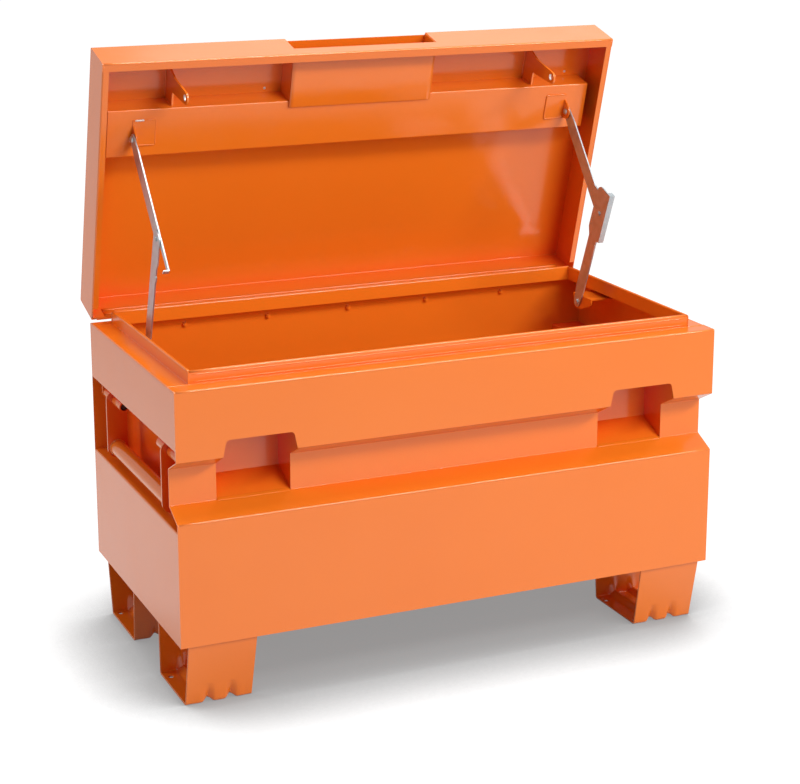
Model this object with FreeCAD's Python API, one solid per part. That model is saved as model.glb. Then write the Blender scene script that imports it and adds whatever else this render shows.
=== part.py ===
import FreeCAD, Part
import math
import os

os.makedirs("parts", exist_ok=True)

# Driving dimensions, in millimetres. X runs along the box, the front faces -Y,
# +Z is up, and the origin lies on the ground at the centre of the four feet.
HALF_LENGTH = 600.0        # centre to the outside of an end wall
HALF_DEPTH = 297.0         # centre to the outside of the front or rear wall
FOOT_HEIGHT = 138.0        # ground to the underside of the body
SHEET = 2.0                # body and lid sheet
BEND = 1.0                 # inside radius of a fold
LEDGE_Z = FOOT_HEIGHT + 522.0      # ledge the lid closes onto
RIM_Z = LEDGE_Z + 27.0             # top of the raised rim around the mouth
RIM_LIP_Z = LEDGE_Z - 4.0          # lower edge of the rim's turned-down lip
RIM_WIDTH = 6.4                    # the rim is folded back on itself
RIM_HALF_LENGTH = 558.0            # outside of the rim at the two ends
RIM_FRONT_Y = -HALF_DEPTH + 41.0   # outside of the rim at the front
RIM_REAR_Y = HALF_DEPTH - 24.0     # outside of the rim at the rear

# Front wall: a lower face, a shoulder, a set-back waist and an overhanging collar.
LOWER_TOP_Z = FOOT_HEIGHT + 255.0
WAIST_BOTTOM_Z = FOOT_HEIGHT + 279.0
WAIST_TOP_Z = FOOT_HEIGHT + 354.0
COLLAR_BOTTOM_Z = FOOT_HEIGHT + 380.0
WAIST_DEPTH = 50.0

# Lock pockets in the front wall.
POCKET_INNER_X = 347.0
POCKET_OUTER_X = 505.0
POCKET_BACK_Y = -HALF_DEPTH + 120.0
CHEEK_SHEET = 1.5
POCKET_FLOOR_Z = FOOT_HEIGHT + 311.0
NOTCH_TOP_Z = FOOT_HEIGHT + 414.5
NOTCH_CORNER = 9.0
PANEL_GAP = 0.5                    # left where a welded sheet would meet a bend
HASP_X = 425.0
HASP_THICKNESS = 4.0
HASP_NOSE = 12.5                   # half width of the hasp's nose
HASP_ROOT = 43.0                   # notch beside the nose, above the lid's edge
HASP_SLOT_HALF = 5.0
EYE_RADIUS = 6.5
EYE_Y = -HALF_DEPTH + 66.5         # padlock eyes, with the lid closed
EYE_PLATE = 17.0                   # half width of the fixed eye plates
EYE_DROP = 40.0                    # eyes below the closed lid's edge

# Handle recesses in the two ends.
RECESS_X = 530.0
RECESS_BOTTOM_Z = FOOT_HEIGHT + 238.0
RECESS_TOP_Z = FOOT_HEIGHT + 403.0

# Feet.
FOOT_INNER_X = 440.0
FOOT_OUTER_X = 583.0
FOOT_OUTER_Y = 262.0
FOOT_INNER_Y = 92.0
FOOT_TOP_OUTER_Y = 292.0
FOOT_TOP_INNER_Y = 86.0
FOOT_SHEET = 3.0
FOOT_HOLE_RADIUS = 6.5
FOOT_HOLE_X = (454.0, 569.0)
FOOT_HOLE_Y = (121.0, 249.0)
RIB_HEIGHT = 12.0
RIB_HALF_WIDTH = 12.0

# Lid, drawn closed and then swung to its open rest position.
OPEN_ANGLE = 74.0
LID_Z = LEDGE_Z + 1.4              # lower edge of the closed lid
LID_HEIGHT = 92.0
LID_HALF_LENGTH = 592.0
FRONT_FLANGE = 18.0
SIDE_FLANGE = 14.0
SIDE_FLANGE_END_Y = HALF_DEPTH - 26.0
RAIL_FRONT_Y = -HALF_DEPTH + 121.0
RAIL_REAR_Y = -HALF_DEPTH + 228.0
RAIL_HALF_LENGTH = 566.0
RAIL_FACE = 35.0                   # rail face above the lid's lower edge
GRIP_HALF_WIDTH = 166.0

# Piano hinge on the rear wall.
PIN_Y = HALF_DEPTH + 8.5
PIN_Z = LEDGE_Z - 10.0
PIN_RADIUS = 3.95
KNUCKLE_RADIUS = 7.0
KNUCKLE_BORE = 4.0
KNUCKLE_COUNT = 20
HINGE_HALF_LENGTH = 580.0
KNUCKLE_GAP = 0.5
LEAF = 2.0
LEAF_REACH = 42.0                  # far edge of a leaf, from the pin
HINGE_BOLT_X = (-388.0, -194.0, 0.0, 194.0, 388.0)
HINGE_BOLT_Z = PIN_Z - 14.0

# Folding lid stays. Arm A carries the flanged head, arm B is the plain bar.
STAY_A = 242.0
STAY_B = 266.0
STAY_THICKNESS = 3.0
STAY_WIDTH = 34.0
STAY_END = 11.0                    # radius of an arm's narrowed end
STAY_TAPER = 38.0                  # length over which it narrows
STAY_HOLE = 4.0
HEAD = 62.0                        # arm A's flanged head, either side of the knee
HEAD_EDGE = 24.0                   # its flange, in front of the knee
TAIL = 86.0                        # hooked tail of the left arm A, past the knee
HOOK = 13.0                        # how far the hook and the flange stand out
PLANE_A = 512.0                    # inboard face of arm A
PLANE_B = 515.5                    # inboard face of arm B
LID_PIVOT_Y = -HALF_DEPTH + 182.0  # on the closed lid
LID_PIVOT_Z = LID_Z + 22.0
BODY_PIVOT = (150.0, LEDGE_Z - 29.0)
EAR = 3.0                          # sheet of the stay brackets
EAR_GAP = 0.5                      # between an ear and its arm

# Swing handles.
HANDLE_X = 577.0
HANDLE_PIVOT_Z = FOOT_HEIGHT + 374.0
HANDLE_GRIP_Z = FOOT_HEIGHT + 268.0
HANDLE_ARM_Y = 194.0
ARM_RADIUS = 22.0
ARM_THICKNESS = 5.0
GRIP_RADIUS = 17.0
SLEEVE_RADIUS = 11.0
SLEEVE_BORE = 8.05
HANDLE_PIN_RADIUS = 8.0
SLEEVE_START_Y = 131.0
SLEEVE_END_Y = 255.0
PIN_START_Y = 136.0
LUG_START_Y = 256.0
LUG_END_Y = 261.0
LUG_REACH = 12.0                   # lug beyond the pin's centre


def vec(x, y, z):
    return FreeCAD.Vector(x, y, z)


def block(x0, x1, y0, y1, z0, z1):
    return Part.makeBox(x1 - x0, y1 - y0, z1 - z0, vec(x0, y0, z0))


def rod(start, end, radius):
    a = vec(*start)
    b = vec(*end)
    return Part.makeCylinder(radius, (b - a).Length, a, b - a)


def sub2(a, b):
    return (a[0] - b[0], a[1] - b[1])


def unit(a):
    size = math.hypot(a[0], a[1])
    return (a[0] / size, a[1] / size)


def along(point, direction, distance):
    return (point[0] + direction[0] * distance, point[1] + direction[1] * distance)


def place(axis, offset):
    """Turn a flat (a, b) point into space, on the plane across the given axis."""
    if axis == "x":
        return lambda p: vec(offset, p[0], p[1])
    if axis == "y":
        return lambda p: vec(p[0], offset, p[1])
    return lambda p: vec(p[0], p[1], offset)


def sweep(axis, length):
    if axis == "x":
        return vec(length, 0, 0)
    if axis == "y":
        return vec(0, length, 0)
    return vec(0, 0, length)


def plate(axis, points, start, end):
    """A flat plate with the given outline, standing across the axis from start to end."""
    put = place(axis, start)
    corners = [put(p) for p in points]
    face = Part.Face(Part.makePolygon(corners + [corners[0]]))
    return face.extrude(sweep(axis, end - start))


def offset_line(points, distance, side):
    """The open line moved sideways by a distance, with its corners mitred."""
    moved = []
    for i in range(len(points)):
        normals = []
        if i > 0:
            d = unit(sub2(points[i], points[i - 1]))
            normals.append((-d[1] * side, d[0] * side))
        if i < len(points) - 1:
            d = unit(sub2(points[i + 1], points[i]))
            normals.append((-d[1] * side, d[0] * side))
        n = unit((sum(v[0] for v in normals), sum(v[1] for v in normals)))
        reach = distance / (n[0] * normals[0][0] + n[1] * normals[0][1])
        moved.append(along(points[i], n, reach))
    return moved


def rounded_edges(points, inside, thickness, side, put, is_outer):
    """Edges along an open line, with a concentric arc at each corner."""
    edges = []
    last = points[0]
    for i in range(1, len(points) - 1):
        d_in = unit(sub2(points[i], points[i - 1]))
        d_out = unit(sub2(points[i + 1], points[i]))
        turn = d_in[0] * d_out[1] - d_in[1] * d_out[0]
        towards_sheet = turn * side > 0
        radius = inside + thickness if towards_sheet == is_outer else inside
        half = math.acos(max(-1.0, min(1.0, d_in[0] * d_out[0] + d_in[1] * d_out[1]))) / 2.0
        tangent = radius * math.tan(half)
        a = along(points[i], d_in, -tangent)
        b = along(points[i], d_out, tangent)
        bisector = unit(sub2(d_out, d_in))
        centre = along(points[i], bisector, radius / math.cos(half))
        middle = along(centre, bisector, -radius)
        edges.append(Part.makeLine(put(last), put(a)))
        edges.append(Part.Arc(put(a), put(middle), put(b)).toShape())
        last = b
    edges.append(Part.makeLine(put(last), put(points[-1])))
    return edges


def folded(axis, outer, side, start, end, thickness=SHEET, inside=BEND):
    """Folded sheet: the outer line, thickened to one side and swept along the axis."""
    put = place(axis, start)
    inner = offset_line(outer, thickness, side)
    edges = rounded_edges(outer, inside, thickness, side, put, True)
    edges.append(Part.makeLine(put(outer[-1]), put(inner[-1])))
    edges += rounded_edges(inner, inside, thickness, side, put, False)
    edges.append(Part.makeLine(put(inner[0]), put(outer[0])))
    wire = Part.Wire(Part.__sortEdges__(edges))
    return Part.Face(wire).extrude(sweep(axis, end - start))


def rounded_plate(axis, points, radii, start, end):
    """A plate whose closed outline has a rounded corner wherever a radius is given."""
    put = place(axis, start)
    count = len(points)
    starts = []
    ends = []
    arcs = []
    for i in range(count):
        d_in = unit(sub2(points[i], points[i - 1]))
        d_out = unit(sub2(points[(i + 1) % count], points[i]))
        radius = radii[i]
        if radius == 0:
            starts.append(points[i])
            ends.append(points[i])
            arcs.append(None)
            continue
        half = math.acos(max(-1.0, min(1.0, d_in[0] * d_out[0] + d_in[1] * d_out[1]))) / 2.0
        a = along(points[i], d_in, -radius * math.tan(half))
        b = along(points[i], d_out, radius * math.tan(half))
        bisector = unit(sub2(d_out, d_in))
        middle = along(points[i], bisector, radius / math.cos(half) - radius)
        starts.append(a)
        ends.append(b)
        arcs.append(Part.Arc(put(a), put(middle), put(b)).toShape())
    edges = []
    for i in range(count):
        if arcs[i] is not None:
            edges.append(arcs[i])
        a = ends[i]
        b = starts[(i + 1) % count]
        if math.hypot(a[0] - b[0], a[1] - b[1]) > 1e-6:
            edges.append(Part.makeLine(put(a), put(b)))
    wire = Part.Wire(Part.__sortEdges__(edges))
    return Part.Face(wire).extrude(sweep(axis, end - start))


def fuse(shapes):
    whole = shapes[0]
    for shape in shapes[1:]:
        whole = whole.fuse(shape)
    return whole.removeSplitter()


def group(shapes):
    return Part.makeCompound(shapes)


def mirrored(shape):
    """The same piece for the other end of the box."""
    return shape.mirror(vec(0, 0, 0), vec(1, 0, 0))


def opened(shape):
    """Swing a piece of the lid from closed to its open rest position."""
    turned = shape.copy()
    turned.rotate(vec(0, PIN_Y, PIN_Z), vec(1, 0, 0), -OPEN_ANGLE)
    return turned


def save(name, shape):
    shape.exportStep("parts/" + name + ".step")


# Body ---------------------------------------------------------------------

def front_line():
    front = -HALF_DEPTH
    waist = front + WAIST_DEPTH
    return [
        (front, FOOT_HEIGHT),
        (front, LOWER_TOP_Z),
        (waist, WAIST_BOTTOM_Z),
        (waist, WAIST_TOP_Z),
        (front, COLLAR_BOTTOM_Z),
        (front, LEDGE_Z),
        (RIM_FRONT_Y, LEDGE_Z),
        (RIM_FRONT_Y, RIM_Z),
        (RIM_FRONT_Y + RIM_WIDTH, RIM_Z),
        (RIM_FRONT_Y + RIM_WIDTH, RIM_LIP_Z),
    ]


def in_front_of_wall(x0, x1):
    """Everything ahead of the front wall's inner face, used to trim pieces that meet it."""
    inner = offset_line(front_line()[:6], SHEET + 0.6, -1)
    ahead = -HALF_DEPTH - 20.0
    outline = inner + [(ahead, inner[-1][1]), (ahead, inner[0][1])]
    return plate("x", outline, x0, x1)


def rim_end_trim(y_inner, y_outer):
    """Removes the rim beyond the ends, where the end walls carry it."""
    low = RIM_LIP_Z - 1.0
    high = RIM_Z + 1.0
    start = RIM_HALF_LENGTH - SHEET
    right = block(start, HALF_LENGTH + 1.0, y_inner, y_outer, low, high)
    return [right, mirrored(right)]


def pocket_window():
    ahead = -HALF_DEPTH - 5.0
    behind = -HALF_DEPTH + WAIST_DEPTH + 16.0
    lower = block(POCKET_INNER_X, POCKET_OUTER_X, ahead, behind,
                  WAIST_BOTTOM_Z, COLLAR_BOTTOM_Z)
    points = [
        (POCKET_INNER_X + 2.0, COLLAR_BOTTOM_Z - 8.0),
        (POCKET_OUTER_X + 1.0, COLLAR_BOTTOM_Z - 8.0),
        (POCKET_OUTER_X - 8.0, NOTCH_TOP_Z),
        (POCKET_INNER_X + 11.0, NOTCH_TOP_Z),
    ]
    radii = [0, 0, NOTCH_CORNER, NOTCH_CORNER]
    upper = rounded_plate("y", points, radii, ahead, -HALF_DEPTH + 22.0)
    return lower.fuse(upper)


def front_panel():
    panel = folded("x", front_line(), -1, -HALF_LENGTH, HALF_LENGTH)
    window = pocket_window()
    for trim in rim_end_trim(RIM_FRONT_Y, RIM_FRONT_Y + RIM_WIDTH + 1.0):
        panel = panel.cut(trim)
    return panel.cut(window).cut(mirrored(window))


def rear_panel():
    line = [
        (HALF_DEPTH, FOOT_HEIGHT),
        (HALF_DEPTH, LEDGE_Z),
        (RIM_REAR_Y, LEDGE_Z),
        (RIM_REAR_Y, RIM_Z),
        (RIM_REAR_Y - RIM_WIDTH, RIM_Z),
        (RIM_REAR_Y - RIM_WIDTH, RIM_LIP_Z),
    ]
    panel = folded("x", line, 1, -HALF_LENGTH, HALF_LENGTH)
    for trim in rim_end_trim(RIM_REAR_Y - RIM_WIDTH - 1.0, RIM_REAR_Y):
        panel = panel.cut(trim)
    for x in HINGE_BOLT_X:
        panel = panel.cut(hinge_bolt_hole(x))
    return panel


def hinge_bolt_hole(x):
    return rod((x, HALF_DEPTH - 5.0, HINGE_BOLT_Z), (x, HALF_DEPTH + 5.0, HINGE_BOLT_Z), 4.0)


def end_lower_panel():
    line = [
        (HALF_LENGTH, FOOT_HEIGHT),
        (HALF_LENGTH, RECESS_BOTTOM_Z),
        (RECESS_X, RECESS_BOTTOM_Z),
    ]
    return folded("y", line, 1, -HALF_DEPTH + SHEET, HALF_DEPTH - SHEET)


def end_recess_panel():
    line = [
        (RECESS_X, RECESS_BOTTOM_Z - SHEET),
        (RECESS_X, RECESS_TOP_Z),
        (HALF_LENGTH, RECESS_TOP_Z),
    ]
    sheet = folded("y", line, 1, -HALF_DEPTH + SHEET, HALF_DEPTH - SHEET)
    return sheet.cut(in_front_of_wall(RECESS_X - 10.0, HALF_LENGTH + 10.0))


def end_collar_panel():
    inner_rim = RIM_HALF_LENGTH - RIM_WIDTH
    line = [
        (HALF_LENGTH, RECESS_TOP_Z + SHEET),
        (HALF_LENGTH, LEDGE_Z),
        (RIM_HALF_LENGTH, LEDGE_Z),
        (RIM_HALF_LENGTH, RIM_Z),
        (inner_rim, RIM_Z),
        (inner_rim, RIM_LIP_Z),
    ]
    front = -HALF_DEPTH + SHEET
    rear = HALF_DEPTH - SHEET
    sheet = folded("y", line, 1, front, rear)
    low = RIM_LIP_Z - 1.0
    high = RIM_Z + 1.0
    wall_top = LEDGE_Z - SHEET - BEND
    inner = inner_rim - 1.0
    clear_x = HALF_LENGTH - SHEET - BEND
    beyond = HALF_LENGTH + 1.0
    mitre_x = RIM_HALF_LENGTH - SHEET
    trims = [
        block(inner, clear_x, front - 1.0, RIM_FRONT_Y, low, high),
        block(inner, clear_x, RIM_REAR_Y, rear + 1.0, low, high),
        block(clear_x - 1.0, beyond, front - 1.0, RIM_FRONT_Y, wall_top, high),
        block(clear_x - 1.0, beyond, RIM_REAR_Y, rear + 1.0, wall_top, high),
        block(inner, mitre_x, RIM_FRONT_Y - 1.0, RIM_FRONT_Y + RIM_WIDTH, low, high),
        block(inner, mitre_x, RIM_REAR_Y - RIM_WIDTH, RIM_REAR_Y + 1.0, low, high),
    ]
    for trim in trims:
        sheet = sheet.cut(trim)
    return sheet


def floor_panel():
    x = HALF_LENGTH - SHEET
    y = HALF_DEPTH - SHEET
    return block(-x, x, -y, y, FOOT_HEIGHT, FOOT_HEIGHT + SHEET)


def lock_pocket():
    """Right-hand pocket: sloping floor, back, two cheeks and a slotted roof."""
    waist = -HALF_DEPTH + WAIST_DEPTH
    roof_z = RIM_LIP_Z - PANEL_GAP
    seam = waist + SHEET + PANEL_GAP
    rear = POCKET_BACK_Y + PANEL_GAP
    front = -HALF_DEPTH + 5.0
    line = [
        (seam, WAIST_BOTTOM_Z + 1.2),
        (POCKET_BACK_Y, POCKET_FLOOR_Z),
        (POCKET_BACK_Y, roof_z),
    ]
    shell = folded("x", line, -1, POCKET_INNER_X, POCKET_OUTER_X)
    cheek = [
        (waist, WAIST_BOTTOM_Z + PANEL_GAP),
        (waist, WAIST_TOP_Z),
        (front, COLLAR_BOTTOM_Z - 1.0),
        (front, roof_z),
        (rear, roof_z),
        (rear, POCKET_FLOOR_Z),
        (seam, WAIST_BOTTOM_Z + PANEL_GAP),
    ]
    inner = plate("x", cheek, POCKET_INNER_X, POCKET_INNER_X + CHEEK_SHEET)
    outer = plate("x", cheek, POCKET_OUTER_X - CHEEK_SHEET, POCKET_OUTER_X)
    roof = block(POCKET_INNER_X, POCKET_OUTER_X, -HALF_DEPTH + SHEET + 0.6, POCKET_BACK_Y + SHEET,
                 roof_z - SHEET, roof_z)
    slot = block(HASP_X - HASP_SLOT_HALF, HASP_X + HASP_SLOT_HALF,
                 RIM_FRONT_Y + RIM_WIDTH + PANEL_GAP, EYE_Y + HASP_NOSE + 12.0,
                 roof_z - 5.0, roof_z + 5.0)
    roof = roof.cut(slot)
    return fuse([shell, inner, outer, roof])


def lock_staple():
    """Two ears with padlock eyes, one each side of where the hasp comes down."""
    roof_z = RIM_LIP_Z - PANEL_GAP - SHEET
    front = EYE_Y - EYE_PLATE
    eye_z = LID_Z - EYE_DROP
    low = eye_z - 20.0
    ear_sheet = 3.5
    points = [(front, roof_z), (front, low), (POCKET_BACK_Y, low), (POCKET_BACK_Y, roof_z)]
    ears = []
    for x in (HASP_X - 9.0, HASP_X + 5.5):
        ear = rounded_plate("x", points, [0, 12.0, 0, 0], x, x + ear_sheet)
        eye = rod((x - 1.0, EYE_Y, eye_z), (x + 5.0, EYE_Y, eye_z), EYE_RADIUS)
        ears.append(ear.cut(eye))
    return group(ears)


def foot(front):
    """Right-hand foot: leaning front and rear plates and a ribbed base plate."""
    lean = [
        (-FOOT_TOP_OUTER_Y, FOOT_HEIGHT),
        (-FOOT_OUTER_Y, 0.0),
        (-FOOT_INNER_Y, 0.0),
        (-FOOT_TOP_INNER_Y, FOOT_HEIGHT),
    ]
    channel = folded("x", lean, 1, FOOT_INNER_X, FOOT_OUTER_X, FOOT_SHEET, 2.0)
    above = block(FOOT_INNER_X - 1.0, FOOT_OUTER_X + 1.0, -HALF_DEPTH, 0.0,
                  FOOT_HEIGHT, FOOT_HEIGHT + 5.0)
    channel = channel.cut(above)
    width = FOOT_OUTER_X - FOOT_INNER_X
    for third in (1.0, 2.0):
        x = FOOT_INNER_X + width * third / 3.0
        groove = rib_block(x, RIB_HALF_WIDTH, RIB_HEIGHT, -1.0)
        ridge = rib_block(x, RIB_HALF_WIDTH + FOOT_SHEET, RIB_HEIGHT + FOOT_SHEET, 0.0)
        inside = plate("x", offset_line(lean, 1.0, 1), FOOT_INNER_X, FOOT_OUTER_X)
        channel = channel.fuse(ridge.common(inside)).cut(groove)
    for x in FOOT_HOLE_X:
        for y in FOOT_HOLE_Y:
            channel = channel.cut(rod((x, -y, -1.0), (x, -y, 6.0), FOOT_HOLE_RADIUS))
    if front:
        return channel
    return channel.mirror(vec(0, 0, 0), vec(0, 1, 0))


def rib_block(x, half, height, low):
    crown = half * 0.35
    points = [(x - half, low), (x - crown, height), (x + crown, height), (x + half, low)]
    radii = [0, half * 0.3, half * 0.3, 0]
    return rounded_plate("y", points, radii, -HALF_DEPTH, -FOOT_TOP_INNER_Y + 5.0)


def hinge_knuckles(first):
    """Every second knuckle along the pin, with the tongue that joins it to its leaf."""
    pitch = 2.0 * HINGE_HALF_LENGTH / KNUCKLE_COUNT
    tube = []
    for i in range(first, KNUCKLE_COUNT, 2):
        x0 = -HINGE_HALF_LENGTH + i * pitch + KNUCKLE_GAP / 2.0
        x1 = x0 + pitch - KNUCKLE_GAP
        tongue_z = (PIN_Z - 9.0, PIN_Z) if first == 0 else (PIN_Z, PIN_Z + 9.0)
        inner = HALF_DEPTH if first == 0 else HALF_DEPTH + PANEL_GAP
        knuckle = rod((x0, PIN_Y, PIN_Z), (x1, PIN_Y, PIN_Z), KNUCKLE_RADIUS)
        tongue = block(x0, x1, inner, HALF_DEPTH + LEAF, tongue_z[0], tongue_z[1])
        bore = rod((x0 - 1.0, PIN_Y, PIN_Z), (x1 + 1.0, PIN_Y, PIN_Z), KNUCKLE_BORE)
        tube.append(knuckle.fuse(tongue).cut(bore))
    return tube


def hinge_body_leaf():
    leaf = block(-HINGE_HALF_LENGTH, HINGE_HALF_LENGTH, HALF_DEPTH, HALF_DEPTH + LEAF,
                 PIN_Z - LEAF_REACH, PIN_Z - 8.0)
    leaf = fuse([leaf] + hinge_knuckles(0))
    for x in HINGE_BOLT_X:
        leaf = leaf.cut(hinge_bolt_hole(x))
    return leaf


def hinge_lid_leaf():
    leaf = block(-HINGE_HALF_LENGTH, HINGE_HALF_LENGTH, HALF_DEPTH, HALF_DEPTH + LEAF,
                 LID_Z, PIN_Z + LEAF_REACH)
    return opened(fuse([leaf] + hinge_knuckles(1)))


def hinge_pin():
    return rod((-HINGE_HALF_LENGTH - 2.0, PIN_Y, PIN_Z), (HINGE_HALF_LENGTH + 2.0, PIN_Y, PIN_Z),
               PIN_RADIUS)


def hinge_bolts():
    """Bolts through the rear wall and the leaf, with round nuts on the inside."""
    bolts = []
    for x in HINGE_BOLT_X:
        inner = HALF_DEPTH - SHEET
        outer = HALF_DEPTH + LEAF
        nut = rod((x, inner - 5.0, HINGE_BOLT_Z), (x, inner, HINGE_BOLT_Z), 6.0)
        shank = rod((x, inner - 8.0, HINGE_BOLT_Z), (x, outer, HINGE_BOLT_Z), 4.0)
        head = rod((x, outer, HINGE_BOLT_Z), (x, outer + 3.0, HINGE_BOLT_Z), 6.0)
        bolts.append(fuse([nut, shank, head]))
    return group(bolts)


# Lid ----------------------------------------------------------------------

def lid_shell():
    top = LID_Z + LID_HEIGHT
    line = [
        (-HALF_DEPTH + FRONT_FLANGE, LID_Z),
        (-HALF_DEPTH, LID_Z),
        (-HALF_DEPTH, top),
        (HALF_DEPTH, top),
        (HALF_DEPTH, LID_Z),
    ]
    cover = folded("x", line, -1, -LID_HALF_LENGTH, LID_HALF_LENGTH)
    side_line = [
        (LID_HALF_LENGTH - SIDE_FLANGE, LID_Z),
        (LID_HALF_LENGTH, LID_Z),
        (LID_HALF_LENGTH, top - SHEET),
    ]
    side = folded("y", side_line, 1, -HALF_DEPTH + SHEET / 2.0, HALF_DEPTH - SHEET / 2.0)
    flange_end = block(0.0, LID_HALF_LENGTH - SHEET, SIDE_FLANGE_END_Y, HALF_DEPTH - SHEET,
                       LID_Z - 1.0, LID_Z + 5.0)
    side = side.cut(flange_end)
    slot = block(-GRIP_HALF_WIDTH, GRIP_HALF_WIDTH, -HALF_DEPTH - 1.0, -HALF_DEPTH + 6.0,
                 LID_Z + RAIL_FACE - SHEET, top + 1.0)
    return opened(fuse([cover, side, mirrored(side)]).cut(slot))


def lid_rail():
    top = LID_Z + LID_HEIGHT - SHEET
    face = LID_Z + RAIL_FACE
    line = [(RAIL_FRONT_Y, top), (RAIL_FRONT_Y, face), (RAIL_REAR_Y, face), (RAIL_REAR_Y, top)]
    return opened(folded("x", line, 1, -RAIL_HALF_LENGTH, RAIL_HALF_LENGTH))


def lid_grip_recess():
    """Closes off the hand slot behind the lid's front wall."""
    top = LID_Z + LID_HEIGHT - SHEET
    face = LID_Z + RAIL_FACE
    front = -HALF_DEPTH + SHEET
    floor = block(-GRIP_HALF_WIDTH, GRIP_HALF_WIDTH, front, RAIL_FRONT_Y + 13.0, face - SHEET, face)
    cheek = block(GRIP_HALF_WIDTH - SHEET, GRIP_HALF_WIDTH, front, RAIL_FRONT_Y, face - SHEET, top)
    return opened(fuse([floor, cheek, mirrored(cheek)]))


def hasp():
    """Right-hand hasp: a plate welded inside the lid, with a padlock eye in its nose."""
    eye_z = LID_Z - EYE_DROP
    front = EYE_Y - HASP_NOSE
    rear = EYE_Y + HASP_NOSE
    tip = eye_z - 15.0
    top = LID_Z + LID_HEIGHT - SHEET
    root = LID_Z + HASP_ROOT
    points = [
        (front - 15.0, top), (front, LID_Z + 30.0), (front, tip), (rear, tip), (rear + 10.0, root),
        (RAIL_FRONT_Y, root), (RAIL_FRONT_Y, top),
    ]
    radii = [0, 20.0, HASP_NOSE - 0.5, HASP_NOSE - 0.5, 3.0, 0, 0]
    half = HASP_THICKNESS / 2.0
    blade = rounded_plate("x", points, radii, HASP_X - half, HASP_X + half)
    eye = rod((HASP_X - 5.0, EYE_Y, eye_z), (HASP_X + 5.0, EYE_Y, eye_z), EYE_RADIUS)
    return opened(blade.cut(eye))


# Stays --------------------------------------------------------------------

def lid_pivot():
    """Where the lid's stay pivot stands with the lid open, as (y, z)."""
    point = Part.Vertex(vec(0, LID_PIVOT_Y, LID_PIVOT_Z))
    turned = opened(point)
    return (turned.Y, turned.Z)


def knee(upper_length, lower_length):
    """The knee of a stay, found where circles about its two end pivots cross."""
    top = lid_pivot()
    gap = sub2(top, BODY_PIVOT)
    span = math.hypot(gap[0], gap[1])
    direction = unit(gap)
    normal = (-direction[1], direction[0])
    foot_point = (lower_length ** 2 - upper_length ** 2 + span ** 2) / (2.0 * span)
    height = math.sqrt(lower_length ** 2 - foot_point ** 2)
    return along(along(BODY_PIVOT, direction, foot_point), normal, height)


def arm_outline_a():
    """Outline of arm A. The knee is at the origin and the far pivot at -STAY_A."""
    half = STAY_WIDTH / 2.0
    tip = -STAY_A - STAY_END
    points = [
        (tip, -STAY_END), (-STAY_A + STAY_TAPER, -half), (-66.0, -half), (-48.0, -27.0),
        (HEAD, -27.0), (HEAD, HEAD_EDGE), (-HEAD, HEAD_EDGE), (-HEAD - 4.0, half),
        (-STAY_A + STAY_TAPER, half), (tip, STAY_END),
    ]
    radii = [STAY_END - 0.5, 20.0, 8.0, 12.0, 18.0, 0, 0, 0, 20.0, STAY_END - 0.5]
    return points, radii


def tailed_outline_a():
    """The left arm A has no head. Half of its width runs on past the knee as a tail."""
    half = STAY_WIDTH / 2.0
    tip = -STAY_A - STAY_END
    points = [
        (tip, -STAY_END), (-STAY_A + STAY_TAPER, -half), (-8.0, -half), (20.0, half - 13.0),
        (TAIL, half - 11.0), (TAIL, half), (-STAY_A + STAY_TAPER, half), (tip, STAY_END),
    ]
    radii = [STAY_END - 0.5, 20.0, 16.0, 14.0, 0, 0, 20.0, STAY_END - 0.5]
    return points, radii


def arm_outline_b():
    """Outline of arm B. The knee is at the origin and the far pivot at +STAY_B."""
    half = STAY_WIDTH / 2.0
    tip = STAY_B + STAY_END
    points = [
        (-half, -half), (STAY_B - STAY_TAPER, -half), (tip, -STAY_END), (tip, STAY_END),
        (STAY_B - STAY_TAPER, half), (62.0, half), (50.0, half + 5.0), (-half, half + 5.0),
    ]
    radii = [half - 1.0, 20.0, STAY_END - 0.5, STAY_END - 0.5, 20.0, 6.0, 6.0, half - 1.0]
    return points, radii


def flat_arm(outline, far_end):
    points, radii = outline
    arm = rounded_plate("z", points, radii, 0.0, STAY_THICKNESS)
    for x in (0.0, far_end):
        arm = arm.cut(rod((x, 0, -1.0), (x, 0, STAY_THICKNESS + 1.0), STAY_HOLE))
    return arm


def arm_a(tailed):
    if tailed:
        arm = flat_arm(tailed_outline_a(), -STAY_A)
        half = STAY_WIDTH / 2.0
        hook = block(TAIL - STAY_THICKNESS, TAIL, half - 11.0, half, 0.0, HOOK)
        return fuse([arm, hook])
    arm = flat_arm(arm_outline_a(), -STAY_A)
    edge = HEAD_EDGE + STAY_THICKNESS
    stop = block(-HEAD, HEAD, HEAD_EDGE, edge, 0.0, HOOK)
    tab = block(HEAD - STAY_THICKNESS, HEAD, HEAD_EDGE - 12.0, edge, 0.0, HOOK)
    return fuse([arm, stop, tab])


def arm_b(lugged):
    arm = flat_arm(arm_outline_b(), STAY_B)
    if not lugged:
        return arm
    lug = block(82.0, 92.0, STAY_WIDTH / 2.0 - 3.0, STAY_WIDTH / 2.0 + 3.0, 0.0, STAY_THICKNESS)
    return fuse([arm, lug])


def stand(shape, origin, direction, front, outward, plane):
    """Stand a flat arm up across X, with its knee at the origin point."""
    m = FreeCAD.Matrix()
    m.A11, m.A21, m.A31 = 0.0, direction[0], direction[1]
    m.A12, m.A22, m.A32 = 0.0, front[0], front[1]
    m.A13, m.A23, m.A33 = outward, 0.0, 0.0
    m.A14, m.A24, m.A34 = outward * plane, origin[0], origin[1]
    return shape.transformGeometry(m)


def forward(direction):
    """The unit normal of an arm that points to the front of the box."""
    normal = (-direction[1], direction[0])
    return normal if normal[0] < 0 else (-normal[0], -normal[1])


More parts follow.
